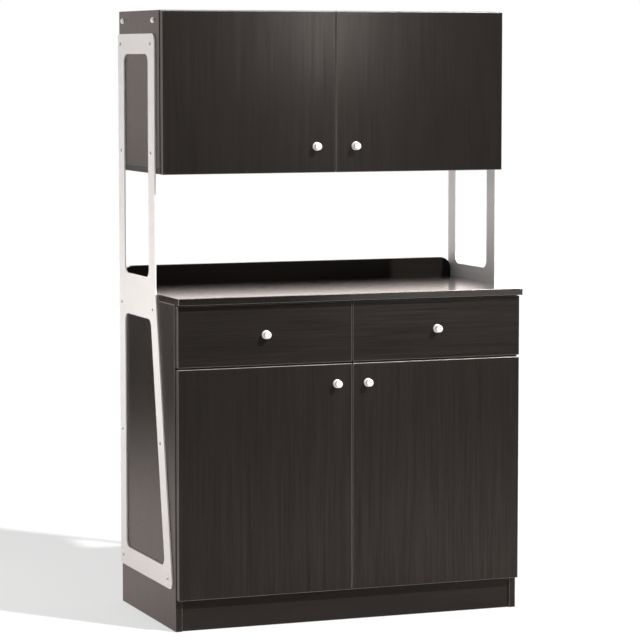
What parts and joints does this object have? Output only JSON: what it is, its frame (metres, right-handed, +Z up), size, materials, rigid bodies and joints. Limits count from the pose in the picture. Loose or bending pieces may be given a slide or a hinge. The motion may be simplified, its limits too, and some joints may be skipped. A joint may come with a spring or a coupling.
{
  "type": "waiter station",
  "caption": "Service cabinet for a restaurant: base with drawers and doors, and an upper cabinet with doors carried by metal side frames above an open worktop.",
  "frame": {"origin": "on the floor, under the middle of the bounding box with its knobs and screw heads", "axes": "+Z up, -Y out of the front, +X to the right when facing the front from outside"},
  "size_m": [0.959, 0.494, 1.57],
  "materials": {
    "dark_fronts": "fine-grained dark laminate, semi-gloss",
    "dark_board": "fine-grained dark laminate, semi-gloss",
    "back_board": "thin dark board, matt",
    "drawer_board": "light grey melamine, satin",
    "satin_frame": "satin",
    "polished_metal": "polished",
    "zinc_steel": "bright zinc"
  },
  "bodies": {
    "root": {"base_back": "back_board", "base_bottom": "dark_board", "base_shelf": "dark_board", "base_side_left": "dark_board", "base_side_right": "dark_board", "cabinet_rails": "zinc_steel", "drawer_divider": "dark_board", "drawer_shelf": "dark_board", "frame_left": "satin_frame", "frame_right": "satin_frame", "frame_screws": "polished_metal", "hinge_arms": "zinc_steel", "hinge_plate_screws": "zinc_steel", "hinge_plates": "zinc_steel", "joining_bolts": "polished_metal", "plinth_boards": "dark_board", "shelf_pins": "zinc_steel", "support_studs": "polished_metal", "top_rails": "dark_board", "upper_back": "back_board", "upper_bottom": "dark_board", "upper_shelf": "dark_board", "upper_side_left": "dark_board", "upper_side_right": "dark_board", "upper_top": "dark_board", "upstand": "dark_board", "worktop": "dark_board"},
    "drawer_left": {"drawer_left_bottom": "drawer_board", "drawer_left_box": "drawer_board", "drawer_left_front": "dark_fronts", "drawer_left_knob": "polished_metal", "drawer_left_rails": "zinc_steel"},
    "runner_left": {"drawer_left_middle_rails": "zinc_steel"},
    "drawer_right": {"drawer_right_bottom": "drawer_board", "drawer_right_box": "drawer_board", "drawer_right_front": "dark_fronts", "drawer_right_knob": "polished_metal", "drawer_right_rails": "zinc_steel"},
    "runner_right": {"drawer_right_middle_rails": "zinc_steel"},
    "lower_left_door": {"lower_left_cup_screws": "zinc_steel", "lower_left_door": "dark_fronts", "lower_left_hinge_cups": "zinc_steel", "lower_left_hinge_pins": "zinc_steel", "lower_left_knob": "polished_metal"},
    "lower_right_door": {"lower_right_cup_screws": "zinc_steel", "lower_right_door": "dark_fronts", "lower_right_hinge_cups": "zinc_steel", "lower_right_hinge_pins": "zinc_steel", "lower_right_knob": "polished_metal"},
    "upper_left_door": {"upper_left_cup_screws": "zinc_steel", "upper_left_door": "dark_fronts", "upper_left_hinge_cups": "zinc_steel", "upper_left_hinge_pins": "zinc_steel", "upper_left_knob": "polished_metal"},
    "upper_right_door": {"upper_right_cup_screws": "zinc_steel", "upper_right_door": "dark_fronts", "upper_right_hinge_cups": "zinc_steel", "upper_right_hinge_pins": "zinc_steel", "upper_right_knob": "polished_metal"}
  },
  "joints": [
    {"name": "lower_left_hinge", "type": "hinge", "parent": "root", "child": "lower_left_door", "pos_m": [-0.4641, -0.221, 0.37575], "axis": [0, 0, -1], "range_deg": [0, 95]},
    {"name": "lower_right_hinge", "type": "hinge", "parent": "root", "child": "lower_right_door", "pos_m": [0.4641, -0.221, 0.37575], "axis": [0, 0, 1], "range_deg": [0, 95]},
    {"name": "upper_left_hinge", "type": "hinge", "parent": "root", "child": "upper_left_door", "pos_m": [-0.4641, -0.105, 1.361], "axis": [0, 0, -1], "range_deg": [0, 95]},
    {"name": "upper_right_hinge", "type": "hinge", "parent": "root", "child": "upper_right_door", "pos_m": [0.4641, -0.105, 1.361], "axis": [0, 0, 1], "range_deg": [0, 95]},
    {"name": "left_drawer_slide", "type": "slide", "parent": "root", "child": "drawer_left", "axis": [0, -1, 0], "range_m": [0, 0.39]},
    {"name": "left_runner_slide", "type": "slide", "parent": "root", "child": "runner_left", "axis": [0, -1, 0], "range_m": [0, 0.195]},
    {"name": "right_drawer_slide", "type": "slide", "parent": "root", "child": "drawer_right", "axis": [0, -1, 0], "range_m": [0, 0.39]},
    {"name": "right_runner_slide", "type": "slide", "parent": "root", "child": "runner_right", "axis": [0, -1, 0], "range_m": [0, 0.195]}
  ],
  "couplings": [
    {"joint": "left_runner_slide", "follows": "left_drawer_slide", "ratio": 0.5},
    {"joint": "right_runner_slide", "follows": "right_drawer_slide", "ratio": 0.5}
  ]
}
